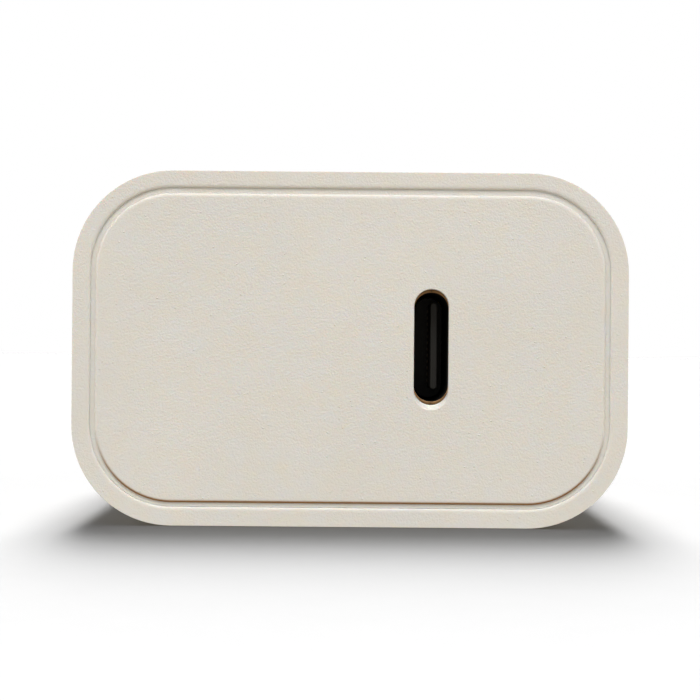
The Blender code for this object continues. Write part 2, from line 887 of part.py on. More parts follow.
def e_outline(half_width, height, direction):
    """An E core's outline with its back away from the middle, and its legs towards it."""
    leg = CENTRE_LEG / 2
    window = half_width - OUTER_LEG
    inner = height - CORE_BACK
    points = [(-half_width, 0), (-window, 0), (-window, inner), (-leg, inner), (-leg, 0)]
    points += [(leg, 0), (leg, inner), (window, inner), (window, 0), (half_width, 0)]
    points += [(half_width, height), (-half_width, height)]
    return [(x, direction * z) for x, z in points]


def make_transformer():
    for direction, label in ((1, "upper"), (-1, "lower")):
        core = extruded(
            f"transformer_core_{label}",
            [e_outline(CORE_WIDTH / 2, CORE_HEIGHT / 2 - GAP / 2, direction)],
            CORE_DEPTH,
            "Y",
            (TRANSFORMER_X, TRANSFORMER_Y, direction * GAP / 2),
        )
        finish(core, "ferrite")

    place = (TRANSFORMER_X, TRANSFORMER_Y, 0)
    bore = (CENTRE_LEG + 2 * GAP, CORE_DEPTH + 2 * GAP)
    tube = (bore[0] + 2 * BOBBIN_WALL, bore[1] + 2 * BOBBIN_WALL)
    flange = (CORE_WIDTH - 2 * OUTER_LEG - 3 * GAP, tube[1] + 0.0040)
    flange_thickness = 0.0006
    half = CORE_HEIGHT / 2 - CORE_BACK - GAP
    bobbin = extruded(
        "transformer_bobbin", [rectangle(*tube), rectangle(*bore)], 2 * half, "Z", place
    )
    for direction, label in ((1, "top"), (-1, "bottom")):
        z = direction * (half - flange_thickness / 2)
        plate = extruded(
            f"bobbin_flange_{label}",
            [rectangle(*flange, 0.0008), rectangle(*bore)],
            flange_thickness,
            "Z",
            (TRANSFORMER_X, TRANSFORMER_Y, z),
        )
        join(bobbin, plate)
    finish(bobbin, "bobbin_plastic")

    thickness = 0.0016
    inner = (tube[0] + 2 * GAP, tube[1] + 2 * GAP)
    winding = extruded(
        "transformer_winding",
        [
            rectangle(inner[0] + 2 * thickness, inner[1] + 2 * thickness, thickness),
            rectangle(*inner),
        ],
        2 * (half - flange_thickness - GAP),
        "Z",
        place,
    )
    finish(winding, "winding_tape", round_piece=True)


def make_heat_parts():
    top = BODY_HEIGHT / 2 - WALL - 2 * GAP
    spreader = box("heat_spreader", (-0.0130, -0.0335, top - 0.0008), (0.0130, -0.0115, top))
    finish(spreader, "heat_metal")
    pad = box(
        "thermal_pad",
        (-0.0130, -0.0305, CORE_HEIGHT / 2 + GAP),
        (-0.0015, -0.0225, top - 0.0008 - GAP),
    )
    finish(pad, "thermal_pad")


def gather(objects, collection):
    for obj in objects:
        for holder in list(obj.users_collection):
            holder.objects.unlink(obj)
        collection.objects.link(obj)


clear_scene()
part_collection = new_collection("usb_wall_charger")
cutter_collection = new_collection("cutters")
materials = make_materials()
parts = []
helpers = []

make_main_housing()
make_front_cover()
make_rear_cover()
make_plug()
make_hinge_bracket()
make_bracket_screws()
make_springs()
make_usb_port()
make_main_board()
make_input_board()
make_choke()
make_capacitors()
make_filter_inductor()
make_transformer()
make_heat_parts()
gather(parts, part_collection)
gather(helpers, cutter_collection)
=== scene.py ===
import json
from math import cos, hypot, radians, sin

import bmesh
import bpy
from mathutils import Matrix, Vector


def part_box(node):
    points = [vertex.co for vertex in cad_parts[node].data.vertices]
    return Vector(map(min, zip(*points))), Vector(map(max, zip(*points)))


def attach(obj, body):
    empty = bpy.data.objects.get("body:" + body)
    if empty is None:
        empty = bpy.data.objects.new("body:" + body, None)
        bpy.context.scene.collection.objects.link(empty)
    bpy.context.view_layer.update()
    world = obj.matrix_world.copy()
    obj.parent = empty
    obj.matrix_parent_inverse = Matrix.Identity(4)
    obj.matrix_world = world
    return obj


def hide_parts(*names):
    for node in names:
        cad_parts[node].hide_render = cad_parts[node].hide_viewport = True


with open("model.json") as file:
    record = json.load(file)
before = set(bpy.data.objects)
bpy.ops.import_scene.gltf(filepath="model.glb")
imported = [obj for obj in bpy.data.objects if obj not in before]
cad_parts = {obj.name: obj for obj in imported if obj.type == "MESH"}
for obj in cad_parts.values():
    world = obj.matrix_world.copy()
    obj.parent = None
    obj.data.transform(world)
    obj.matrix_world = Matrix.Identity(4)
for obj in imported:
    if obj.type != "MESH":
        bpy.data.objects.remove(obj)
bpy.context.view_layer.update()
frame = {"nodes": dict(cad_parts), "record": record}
print("frame loaded:", len(frame["nodes"]), "nodes")

bodyLow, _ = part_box("front_cover")
_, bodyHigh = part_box("main_housing")
halfWide = bodyHigh.x
halfTall = bodyHigh.z - 0.00004  # the mould's draft
frontY = bodyLow.y
floorZ = -bodyHigh.z
cornerRadius = 0.0077
past = 0.002  # how far a cutter runs past what it cuts
overlap = 0.0002  # how far a joined part runs into its neighbour


def deselectAll():
    if bpy.context.mode != "OBJECT":
        bpy.ops.object.mode_set(mode="OBJECT")
    bpy.ops.object.select_all(action="DESELECT")


def makeActive(piece):
    deselectAll()
    piece.select_set(True)
    bpy.context.view_layer.objects.active = piece


def addBlock(name, low, high):
    # a cube at its size and place, both held by its mesh
    deselectAll()
    middle = [(a + b) / 2 for a, b in zip(low, high)]
    size = [b - a for a, b in zip(low, high)]
    bpy.ops.mesh.primitive_cube_add(size=1, location=middle, scale=size)
    bpy.ops.object.transform_apply(location=True, rotation=True, scale=True)
    bpy.context.object.name = name
    return bpy.context.object


def addRod(name, radius, low, high, sides=48):
    # a cylinder between two points that lie along X
    deselectAll()
    bpy.ops.mesh.primitive_cylinder_add(
        vertices=sides,
        radius=radius,
        depth=high[0] - low[0],
        location=[(a + b) / 2 for a, b in zip(low, high)],
        rotation=(0, radians(90), 0),
    )
    bpy.ops.object.transform_apply(location=True, rotation=True, scale=True)
    bpy.context.object.name = name
    return bpy.context.object


def pickFaces(piece, test):
    # edit mode with just the faces whose middle and normal pass
    makeActive(piece)
    bpy.ops.object.mode_set(mode="EDIT")
    bpy.ops.mesh.select_mode(type="FACE")
    bpy.ops.mesh.select_all(action="DESELECT")
    mesh = bmesh.from_edit_mesh(piece.data)
    for face in mesh.faces:
        face.select_set(bool(test(face.calc_center_median(), face.normal)))
    mesh.select_flush_mode()
    bmesh.update_edit_mesh(piece.data)


def pickEdges(piece, test, creased=False):
    # edit mode with just the edges whose two ends pass, and that fold if it asks for creases
    makeActive(piece)
    bpy.ops.object.mode_set(mode="EDIT")
    bpy.ops.mesh.select_mode(type="EDGE")
    bpy.ops.mesh.select_all(action="DESELECT")
    mesh = bmesh.from_edit_mesh(piece.data)
    for edge in mesh.edges:
        folds = not creased or edge.calc_face_angle(0) > 0.5
        edge.select_set(folds and bool(test(edge.verts[0].co, edge.verts[1].co)))
    mesh.select_flush_mode()
    bmesh.update_edit_mesh(piece.data)
    if not any(edge.select for edge in mesh.edges):
        print("no edge found on", piece.name)


def near(a, b, slack=0.00002):
    return abs(a - b) < slack


def facing(axis, sign, place=None):
    # a face that looks along an axis, and lies at a place along it
    def test(middle, normal):
        return normal[axis] * sign > 0.99 and (place is None or near(middle[axis], place))
    return test


def along(axis):
    # an edge that runs along an axis
    def test(a, b):
        others = all(near(a[i], b[i]) for i in range(3) if i != axis)
        return others and not near(a[axis], b[axis])
    return test


def insetOf(point, rise=0):
    # how far a point lies inside the body's outline, or inside that outline moved up
    across = abs(point.x) - (halfWide - cornerRadius)
    up = abs(point.z - rise) - (halfTall - cornerRadius)
    outside = hypot(max(across, 0), max(up, 0)) + min(max(across, up), 0)
    return cornerRadius - outside


def onLoop(y, inset, slack=0.00004, rise=0):
    # an edge of the body's outline at a depth and an inset
    def test(a, b):
        return all(near(p.y, y) and near(insetOf(p, rise), inset, slack) for p in (a, b))
    return test


def bevel(width, segments, profile=0.5):
    bpy.ops.mesh.bevel(
        offset=width,
        offset_type="OFFSET",
        segments=segments,
        profile=profile,
        affect="EDGES",
        clamp_overlap=False,
    )


def inset(width):
    bpy.ops.mesh.inset(thickness=width, depth=0, use_even_offset=True)


def extrude(x=0, y=0, z=0):
    bpy.ops.mesh.extrude_region_move(TRANSFORM_OT_translate={"value": (x, y, z)})


def squeeze(piece, depth, factor):
    # flattens whatever lies between the face and a depth behind it towards the face
    makeActive(piece)
    bpy.ops.object.mode_set(mode="EDIT")
    bpy.ops.mesh.select_mode(type="VERT")
    bpy.ops.mesh.select_all(action="DESELECT")
    mesh = bmesh.from_edit_mesh(piece.data)
    for vert in mesh.verts:
        vert.select_set(vert.co.y < frontY + depth)
    bmesh.update_edit_mesh(piece.data)
    bpy.ops.transform.resize(value=(1, factor, 1), center_override=(0, frontY, 0))
    deselectAll()


def applyModifier(piece, kind, **values):
    makeActive(piece)
    added = piece.modifiers.new(kind.title(), kind)
    for name, value in values.items():
        setattr(added, name, value)
    bpy.ops.object.modifier_apply(modifier=added.name)


def combine(piece, other, operation):
    # an exact Boolean, after which the other mesh is gone
    applyModifier(piece, "BOOLEAN", object=other, operation=operation, solver="EXACT")
    bpy.data.objects.remove(other, do_unlink=True)


def finishPiece(piece, body, replaced, materials, smooth=35):
    # welds, shades, and hangs the piece on its body in place of its CAD nodes
    makeActive(piece)
    bpy.ops.object.mode_set(mode="EDIT")
    bpy.ops.mesh.select_all(action="SELECT")
    bpy.ops.mesh.remove_doubles(threshold=0.000001)
    bpy.ops.mesh.normals_make_consistent(inside=False)
    bpy.ops.object.mode_set(mode="OBJECT")
    bpy.ops.object.shade_smooth_by_angle(angle=radians(smooth))
    applyModifier(piece, "WEIGHTED_NORMAL", mode="FACE_AREA", keep_sharp=True, weight=50)
    for made in materials:
        piece.data.materials.append(made)
    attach(piece, body)
    if replaced:
        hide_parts(*replaced)
    deselectAll()


def paintFaces(piece, slotNumber, test):
    # gives some of a piece's faces another of its materials
    pickFaces(piece, test)
    piece.active_material_index = slotNumber
    bpy.ops.object.material_slot_assign()
    deselectAll()


def newMaterial(name):
    made = bpy.data.materials.new(name)
    made.use_nodes = True
    return made, made.node_tree, made.node_tree.nodes["Principled BSDF"]


def addNode(tree, kind, **values):
    node = tree.nodes.new(kind)
    for name, value in values.items():
        setattr(node, name, value)
    return node


def objectPlace(tree):
    return addNode(tree, "ShaderNodeTexCoord").outputs["Object"]


def stretched(tree, place, scale):
    mapping = addNode(tree, "ShaderNodeMapping")
    mapping.inputs["Scale"].default_value = scale
    tree.links.new(place, mapping.inputs["Vector"])
    return mapping.outputs["Vector"]


def noise(tree, place, size, detail=2.0, roughness=0.5):
    # noise whose lumps are about that size, in metres
    node = addNode(tree, "ShaderNodeTexNoise")
    node.inputs["Scale"].default_value = 1 / size
    node.inputs["Detail"].default_value = detail
    node.inputs["Roughness"].default_value = roughness
    tree.links.new(place, node.inputs["Vector"])
    return node.outputs["Fac"]


def cells(tree, place, size, feature="F1"):
    node = addNode(tree, "ShaderNodeTexVoronoi", feature=feature)
    node.inputs["Scale"].default_value = 1 / size
    tree.links.new(place, node.inputs["Vector"])
    return node.outputs["Distance"]


def ramp(tree, fac, stops):
    node = addNode(tree, "ShaderNodeValToRGB")
    while len(node.color_ramp.elements) < len(stops):
        node.color_ramp.elements.new(0.5)
    for element, (position, colour) in zip(node.color_ramp.elements, stops):
        element.position = position
        element.color = (*colour, 1)
    tree.links.new(fac, node.inputs["Fac"])
    return node.outputs["Color"]


def remap(tree, fac, fromLow, fromHigh, toLow, toHigh):
    node = addNode(tree, "ShaderNodeMapRange")
    for name, value in (
        ("From Min", fromLow),
        ("From Max", fromHigh),
        ("To Min", toLow),
        ("To Max", toHigh),
    ):
        node.inputs[name].default_value = value
    tree.links.new(fac, node.inputs["Value"])
    return node.outputs["Result"]


def calculate(tree, operation, first, second):
    node = addNode(tree, "ShaderNodeMath", operation=operation)
    for socket, value in zip(node.inputs, (first, second)):
        if isinstance(value, (int, float)):
            socket.default_value = value
        else:
            tree.links.new(value, socket)
    return node.outputs["Value"]


def mixColours(tree, fac, first, second):
    node = addNode(tree, "ShaderNodeMix", data_type="RGBA")
    for number, value in ((0, fac), (6, first), (7, second)):
        socket = node.inputs[number]
        if isinstance(value, (int, float)):
            socket.default_value = value
        elif isinstance(value, tuple):
            socket.default_value = (*value, 1)
        else:
            tree.links.new(value, socket)
    return node.outputs[2]


def bump(tree, height, distance, before=None):
    node = addNode(tree, "ShaderNodeBump")
    node.inputs["Strength"].default_value = 1.0
    node.inputs["Distance"].default_value = distance
    tree.links.new(height, node.inputs["Height"])
    if before is not None:
        tree.links.new(before, node.inputs["Normal"])
    return node.outputs["Normal"]


shellPlastic = {
    "cool": (0.695, 0.676, 0.640),
    "warm": (0.704, 0.671, 0.606),
    "mottleSize": 0.0016,
    "grainSize": 0.00016,
    "grainHeight": 0.00005,
    "speckSize": 0.0007,
    "speckHeight": 0.00005,
    "roughness": (0.30, 0.42),
    "scatter": 0.25,
    "scatterRadius": (0.0004, 0.0002, 0.0001),
}
# painted shade for the groove's flank: brown mixed in with depth behind the face and towards the
# bottom
groovePaintedShade = {
    "colour": (0.27, 0.13, 0.035),
    "depth": (0.000003, 0.00003),
    "height": (-0.0065, -0.0105),
}


def makeMouldedPlastic(name, look, paintedShade=None):
    # spark-textured ABS: two near tones in small clouds, a fine grain and a few raised specks
    # a painted shade darkens it to brown with depth behind the face, and towards the lower edge
    made, tree, shader = newMaterial(name)
    place = objectPlace(tree)
    clouds = remap(tree, noise(tree, place, look["mottleSize"], 3, 0.6), 0.36, 0.64, 0, 1)
    tone = mixColours(tree, clouds, look["cool"], look["warm"])
    drift = remap(tree, noise(tree, place, look["mottleSize"] * 7, 2), 0.3, 0.7, 0.985, 1.015)
    tinted = addNode(tree, "ShaderNodeHueSaturation")
    tree.links.new(tone, tinted.inputs["Color"])
    tree.links.new(drift, tinted.inputs["Value"])
    colour = tinted.outputs["Color"]
    if paintedShade:
        parts = addNode(tree, "ShaderNodeSeparateXYZ")
        tree.links.new(place, parts.inputs["Vector"])
        start, end = paintedShade["depth"]
        deep = remap(tree, parts.outputs["Y"], frontY + start, frontY + end, 0, 1)
        high, low = paintedShade["height"]
        lower = remap(tree, parts.outputs["Z"], high, low, 0, 1)
        paintedShadeWeight = calculate(tree, "MULTIPLY", deep, lower)
        colour = mixColours(tree, paintedShadeWeight, colour, paintedShade["colour"])
    tree.links.new(colour, shader.inputs["Base Color"])
    grain = noise(tree, place, look["grainSize"], 3, 0.65)
    specks = remap(tree, cells(tree, place, look["speckSize"]), 0.0, 0.1, 1, 0)
    fine = bump(tree, grain, look["grainHeight"])
    both = bump(tree, specks, look["speckHeight"], before=fine)
    tree.links.new(both, shader.inputs["Normal"])
    low, high = look["roughness"]
    tree.links.new(remap(tree, grain, 0.3, 0.7, high, low), shader.inputs["Roughness"])
    shader.inputs["IOR"].default_value = 1.5
    shader.inputs["Subsurface Weight"].default_value = look["scatter"]
    shader.inputs["Subsurface Radius"].default_value = look["scatterRadius"]
    shader.inputs["Subsurface Scale"].default_value = 1.0
    return made


strokeHeight = 0.000003
# dark and light tone, smoothest and roughest
brushedMetal = {
    "stainless": ((0.52, 0.50, 0.46), (0.62, 0.60, 0.56), 0.24, 0.42),
    # a dark brown painted shade with a warm painted reflection, for a steel rim deep in the port
    "rimPaintedShade": ((0.27, 0.155, 0.072), (0.33, 0.195, 0.095), 0.40, 0.58),
    "nickel": ((0.66, 0.62, 0.55), (0.76, 0.73, 0.66), 0.18, 0.34),
    # gold darkened as painted shade, for contacts deep in the port
    "goldPaintedShade": ((0.09, 0.07, 0.04), (0.13, 0.10, 0.06), 0.34, 0.48),
    "bronze": ((0.62, 0.40, 0.19), (0.72, 0.49, 0.25), 0.26, 0.42),
    "aluminium": ((0.72, 0.73, 0.74), (0.82, 0.83, 0.84), 0.28, 0.44),
}


def makeBrushedMetal(name, finish, stretch=(1, 12, 1), strokeSize=0.0004):
    # rolled and lightly scratched sheet, with strokes drawn out along one axis
    dark, light, smoothest, roughest = brushedMetal[finish]
    made, tree, shader = newMaterial(name)
    drawn = stretched(tree, objectPlace(tree), tuple(1 / s for s in stretch))
    strokes = noise(tree, drawn, strokeSize, 4, 0.7)
    smudges = noise(tree, objectPlace(tree), strokeSize * 9, 2)
    tree.links.new(ramp(tree, strokes, ((0.3, dark), (0.7, light))), shader.inputs["Base Color"])
    both = calculate(tree, "MULTIPLY", strokes, calculate(tree, "ADD", smudges, 0.5))
    tree.links.new(remap(tree, both, 0.2, 0.8, smoothest, roughest), shader.inputs["Roughness"])
    tree.links.new(bump(tree, strokes, strokeHeight), shader.inputs["Normal"])
    shader.inputs["Metallic"].default_value = 1.0
    return made


# dark and light tone, grain size, smoothest and roughest
mattPart = {
    "port_plastic": ((0.0040, 0.0034, 0.0024), (0.0060, 0.0052, 0.0038), 0.00018, 0.50, 0.62),
    "bracket_plastic": ((0.045, 0.045, 0.047), (0.060, 0.060, 0.062), 0.00030, 0.45, 0.60),
    "ferrite": ((0.055, 0.055, 0.062), (0.085, 0.085, 0.092), 0.00035, 0.55, 0.75),
    "bobbin_plastic": ((0.028, 0.028, 0.030), (0.040, 0.040, 0.042), 0.00030, 0.42, 0.58),
    "winding_tape": ((0.78, 0.54, 0.06), (0.88, 0.66, 0.10), 0.00200, 0.28, 0.42),
    "capacitor_sleeve": ((0.030, 0.036, 0.055), (0.045, 0.052, 0.075), 0.00120, 0.26, 0.38),
    "film_capacitor": ((0.72, 0.52, 0.07), (0.82, 0.63, 0.12), 0.00060, 0.36, 0.50),
    "disc_ceramic": ((0.035, 0.16, 0.46), (0.060, 0.22, 0.56), 0.00070, 0.24, 0.44),
    "fuse_body": ((0.36, 0.085, 0.045), (0.48, 0.13, 0.07), 0.00050, 0.34, 0.50),
    "chip": ((0.018, 0.018, 0.020), (0.030, 0.030, 0.033), 0.00012, 0.48, 0.66),
    "thermal_pad": ((0.38, 0.48, 0.58), (0.48, 0.58, 0.68), 0.00040, 0.70, 0.90),
    "insulation": ((0.70, 0.66, 0.56), (0.80, 0.77, 0.68), 0.00150, 0.30, 0.50),
}


def makeMattPart(slotName):
    # two tones in a grain of the part's own size, with a matching bump
    dark, light, size, smoothest, roughest = mattPart[slotName]
    made, tree, shader = newMaterial(slotName + "Finish")
    grain = noise(tree, objectPlace(tree), size, 4, 0.6)
    tree.links.new(ramp(tree, grain, ((0.35, dark), (0.65, light))), shader.inputs["Base Color"])
    tree.links.new(remap(tree, grain, 0.3, 0.7, smoothest, roughest), shader.inputs["Roughness"])
    tree.links.new(bump(tree, grain, size * 0.06), shader.inputs["Normal"])
    return made


boardLook = {
    "mask": (0.012, 0.10, 0.045),
    "trace": (0.03, 0.17, 0.075),
    "traceSize": 0.0016,
    "traceHeight": 0.00003,
    "weaveSize": 0.0004,
    "roughness": (0.22, 0.34),
}


def makeBoard():
    # solder mask with the traces under it showing as a paler, slightly raised pattern
    made, tree, shader = newMaterial("boardFinish")
    place = objectPlace(tree)
    edges = cells(tree, place, boardLook["traceSize"], "DISTANCE_TO_EDGE")
    traces = remap(tree, edges, 0.04, 0.07, 1, 0)
    colour = mixColours(tree, traces, boardLook["mask"], boardLook["trace"])
    tree.links.new(colour, shader.inputs["Base Color"])
    tree.links.new(bump(tree, traces, boardLook["traceHeight"]), shader.inputs["Normal"])
    weave = noise(tree, place, boardLook["weaveSize"], 2)
    smoothest, roughest = boardLook["roughness"]
    tree.links.new(remap(tree, weave, 0.3, 0.7, smoothest, roughest), shader.inputs["Roughness"])
    return made


housing = {
    "cornerSegments": 20,
    "rim": 0.001378,
    "rise": 0.00009,
    "seatDepth": 0.0021,
    "wall": 0.0016,
    "frontEdge": 0.00003,
    "rimEdge": 0.00037,
    "edgeProfile": 0.6,
    "flatten": 0.5,
    "rearEdge": 0.00015,
}


def makeHousing(plastic):
    low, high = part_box("main_housing")
    shell = addBlock(
        "housingShell", (-halfWide, low.y, -halfTall), (halfWide, high.y, halfTall)
    )
    pickEdges(shell, along(1))
    bevel(cornerRadius, housing["cornerSegments"])
    pickFaces(shell, facing(1, -1))
    inset(housing["rim"])
    bpy.ops.transform.translate(value=(0, 0, housing["rise"]))
    extrude(y=housing["seatDepth"])
    bpy.ops.transform.translate(value=(0, 0, -housing["rise"]))
    inset(housing["wall"] - housing["rim"])
    pickFaces(shell, facing(1, 1, high.y))
    inset(housing["wall"])
    seatY = low.y + housing["seatDepth"]
    pickFaces(
        shell,
        lambda middle, normal: abs(normal.y) > 0.99
        and (near(middle.y, seatY) or near(middle.y, high.y))
        and near(middle.x, 0)
        and near(middle.z, 0),
    )
    bpy.ops.mesh.bridge_edge_loops()
    pickEdges(shell, onLoop(low.y, 0))
    bevel(housing["frontEdge"], 3)
    pickEdges(shell, onLoop(low.y, housing["rim"], rise=housing["rise"]))
    bevel(housing["rimEdge"], 9, housing["edgeProfile"])
    pickEdges(shell, onLoop(high.y, 0))
    bevel(housing["rearEdge"], 3)
    squeeze(shell, housing["rimEdge"] + 0.00001, housing["flatten"])
    print("housing done")
    finishPiece(shell, "charger", ["main_housing"], [plastic])


cover = {
    "seam": 0.000005,
    "panelInset": 0.001765,
    "panelRise": 0.00002,
    "grooveDepth": 0.00038,
    "thickness": 0.0019,
    "panelEdge": 0.00037,
    "skirtInset": 0.0018,
    "skirt": 0.001,
    "skirtDepth": 0.0025,
    "portX": 0.00624,
    "portZ": 0.000225,
    "portWide": 0.00266,
    "portTall": 0.0089,
    "portLip": 0.00007,
    "lipDepth": 0.00038,
    "scoopAhead": 0.0005,
    "scoopSlack": 0.00004,
    "scoopDrop": 0.00096,
    "recessWide": 0.00356,
    "recessTall": 0.00934,
}


def addSlotBlock(name, wide, tall, nearY, farY, z=None):
    # a block with round ends, for anything shaped as the port
    x = cover["portX"]
    z = cover["portZ"] if z is None else z
    cutter = addBlock(
        name, (x - wide / 2, nearY, z - tall / 2), (x + wide / 2, farY, z + tall / 2)
    )
    pickEdges(cutter, along(1))
    bevel(wide / 2 - 0.00001, 12)
    deselectAll()
    return cutter


def makeFrontCover(plastic, flank):
    edge = housing["rim"] + cover["seam"]
    grooveY = frontY + cover["grooveDepth"]
    backY = frontY + cover["thickness"]
    rise = housing["rise"]
    low = (-halfWide + edge, grooveY, -halfTall + edge + rise)
    high = (halfWide - edge, backY, halfTall - edge + rise)
    panel = addBlock("frontPanel", low, high)
    pickEdges(panel, along(1))
    bevel(cornerRadius - edge, housing["cornerSegments"])
    pickFaces(panel, facing(1, -1))
    inset(cover["panelInset"] - edge)
    bpy.ops.transform.translate(value=(0, 0, cover["panelRise"] - rise))
    extrude(y=-cover["grooveDepth"])
    pickEdges(panel, onLoop(frontY, cover["panelInset"], rise=cover["panelRise"]))
    bevel(cover["panelEdge"], 9, housing["edgeProfile"])
    # the skirt behind, as a ring raised from the back
    pickFaces(panel, facing(1, 1, backY))
    inset(cover["skirtInset"] - edge)
    bpy.ops.transform.translate(value=(0, 0, -rise))
    extrude(y=cover["skirtDepth"])
    inset(cover["skirt"])
    extrude(y=-cover["skirtDepth"])
    squeeze(panel, cover["grooveDepth"] + 0.00001, housing["flatten"])
    # the port's opening, its relief behind, and the scoop below it
    wide, tall = cover["portWide"], cover["portTall"]
    lipY = frontY + cover["lipDepth"]
    pastBack = backY + past
    opening = addSlotBlock("openingCutter", wide, tall, frontY - past, pastBack)
    combine(panel, opening, "DIFFERENCE")
    relief = addSlotBlock("reliefCutter", cover["recessWide"], cover["recessTall"], lipY, pastBack)
    combine(panel, relief, "DIFFERENCE")
    slack = cover["scoopSlack"]
    frontOfFace = frontY - cover["scoopAhead"]
    scoop = addSlotBlock("scoopCutter", wide - slack, tall - slack, frontOfFace, lipY - slack)
    pickFaces(scoop, facing(1, -1))
    bpy.ops.transform.translate(value=(0, 0, -cover["scoopDrop"]))
    deselectAll()
    combine(panel, scoop, "DIFFERENCE")

    def roundPort(point):
        across = abs(point.x - cover["portX"])
        up = abs(point.z - cover["portZ"])
        return near(point.y, frontY) and across < wide and up < tall / 2 + cover["scoopDrop"]

    pickEdges(panel, lambda a, b: roundPort(a) and roundPort(b), creased=True)
    bevel(cover["portLip"], 3)
    deselectAll()
    finishPiece(panel, "charger", ["front_cover"], [plastic, flank])
    # the panel's flank takes the painted shade, which is darkest at its foot
    grooveY = frontY + cover["grooveDepth"] * housing["flatten"]
    innermost = cover["panelInset"] + cover["panelEdge"] + 0.0001
    paintFaces(
        panel,
        1,
        lambda middle, normal: middle.y < grooveY - 0.000002
        and edge < insetOf(middle, rise) < innermost
        and hypot(normal.x, normal.z) > 0.01,
    )
    print("front cover done")


port = {
    "shellZ": 0.000235,
    "shellDepth": 0.00042,
    "tongueX": 0.0065,
    "tongueZ": 0.00033,
    "shellWide": 0.00316,
    "shellTall": 0.00891,
    "shellWall": 0.00025,
    "rimRound": 0.00006,
    "rimDepth": 0.0001,
    "tongueWide": 0.00059,
    "tongueTall": 0.0068,
    "tongueLength": 0.0044,
    "tongueCorner": 0.00028,
    "tipRound": 0.00012,
    "contacts": 12,
    "contactPitch": 0.0005,
    "contactWide": 0.00025,
    "contactRise": 0.00003,
    "contactStart": 0.0032,
    "contactLength": 0.001,
}


def makePortShell(bronze, insidePaintedShade):
    # the first material is a dark brown painted shade on the steel rim, the second a black painted
    # shade for the inside
    _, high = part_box("usb_shell")
    lowY = frontY + port["shellDepth"]
    x, z = cover["portX"], port["shellZ"]
    shell = addSlotBlock("portShell", port["shellWide"], port["shellTall"], lowY, high.y, z)
    for end in (-1, 1):
        pickFaces(shell, facing(1, end))
        inset(port["shellWall"])

    def onAxis(middle, normal):
        return abs(normal.y) > 0.99 and near(middle.x, x) and near(middle.z, z)

    pickFaces(shell, onAxis)
    bpy.ops.mesh.bridge_edge_loops()
    halfStraight = (port["shellTall"] - port["shellWide"]) / 2
    outer = port["shellWide"] / 2
    inner = outer - port["shellWall"]

    def reach(point):
        # distance from the slot's middle line
        return hypot(point.x - x, max(abs(point.z - z) - halfStraight, 0))

    def onRim(point):
        edge = near(reach(point), inner, 0.00003) or near(reach(point), outer, 0.00003)
        return near(point.y, lowY) and edge

    pickEdges(shell, lambda a, b: onRim(a) and onRim(b))
    bevel(port["rimRound"], 4)
    finishPiece(shell, "charger", ["usb_shell"], [bronze, insidePaintedShade])
    # the inside is painted black as painted shade, and the rim keeps its dark brown painted shade
    paintFaces(
        shell,
        1,
        lambda middle, normal: middle.y > lowY + port["rimDepth"] and reach(middle) < inner + 0.00002,
    )
    print("port shell done")


def makePortTongue(plastic):
    low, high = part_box("usb_insulator")
    x, z = port["tongueX"], port["tongueZ"]
    rootY = low.y + port["tongueLength"]
    holder = addBlock("portTongue", (low.x, rootY, low.z), high)
    pickEdges(holder, along(1))
    bevel((high.x - low.x) / 2 - 0.00002, 8)
    deselectAll()
    blade = addBlock(
        "tongueBlade",
        (x - port["tongueWide"] / 2, low.y, z - port["tongueTall"] / 2),
        (x + port["tongueWide"] / 2, rootY + overlap, z + port["tongueTall"] / 2),
    )
    pickEdges(blade, along(1))
    bevel(port["tongueCorner"], 5)
    pickEdges(blade, lambda a, b: near(a.y, low.y) and near(b.y, low.y))
    bevel(port["tipRound"], 4)
    deselectAll()
    combine(holder, blade, "UNION")
    finishPiece(holder, "charger", ["usb_insulator"], [plastic])


def makePortContacts(goldPaintedShade):
    # a row of flat springs on each side of the tongue
    low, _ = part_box("usb_insulator")
    x, z = port["tongueX"], port["tongueZ"]
    first = z - (port["contacts"] - 1) / 2 * port["contactPitch"]
    startY = low.y + port["contactStart"]
    made = []
    for side in (-1, 1):
        faceX = x + side * port["tongueWide"] / 2
        edges = sorted((faceX - side * 0.00005, faceX + side * port["contactRise"]))
        for count in range(port["contacts"]):
            middle = first + count * port["contactPitch"]
            strip = addBlock(
                "contact",
                (edges[0], startY, middle - port["contactWide"] / 2),
                (edges[1], startY + port["contactLength"], middle + port["contactWide"] / 2),
            )
            pickFaces(strip, facing(0, side))
            inset(0.00003)
            deselectAll()
            made.append(strip)
    for strip in made:
        strip.select_set(True)
    bpy.context.view_layer.objects.active = made[0]
    bpy.ops.object.join()
    made[0].name = "portContacts"
    # the contacts take gold darkened as painted shade
    finishPiece(made[0], "charger", [], [goldPaintedShade])
    print("port tongue and contacts done")


rear = {
    "thickness": 0.0024,
    "wallEdge": 0.0008,
    "skirtInset": 0.0018,
    "skirt": 0.001,
    "skirtDepth": 0.0026,
    "slotClearance": 0.0004,
    "slotWall": 0.0009,
    "windowSide": 0.0002,
    "windowBelow": 0.0006,
    "windowAbove": 0.0004,
    "windowDepth": 0.012,
    "slotCorner": 0.0003,
    "recessDepth": 0.0015,
    "recessTall": 0.0045,
    "recessRound": 0.0006,
    "mouthInset": 0.0014,
    "mouthEdge": 0.00018,
}
plug = {
    "pivotY": -0.0036,
    "pivotZ": 0.0088,
    "rotorRadius": 0.0030,
    "rotorLength": 0.0194,
    "rotorEdge": 0.00025,
    "flatChamfer": 0.0008,
    "trunnionRadius": 0.00125,
    "spacing": 0.0127,
    "bladeWide": 0.00635,
    "bladeThick": 0.0015,
    "reach": 0.0199,
    "tangWide": 0.0036,
    "tangThick": 0.0012,
    "tangFit": 0.00005,
    "tangReach": 0.0023,
    "tangEdge": 0.0004,
    "shoulder": 0.0032,
    "tipRadius": 0.0012,
    "holeRadius": 0.00159,
    "holeY": 0.0119,
    "edge": 0.00022,
}


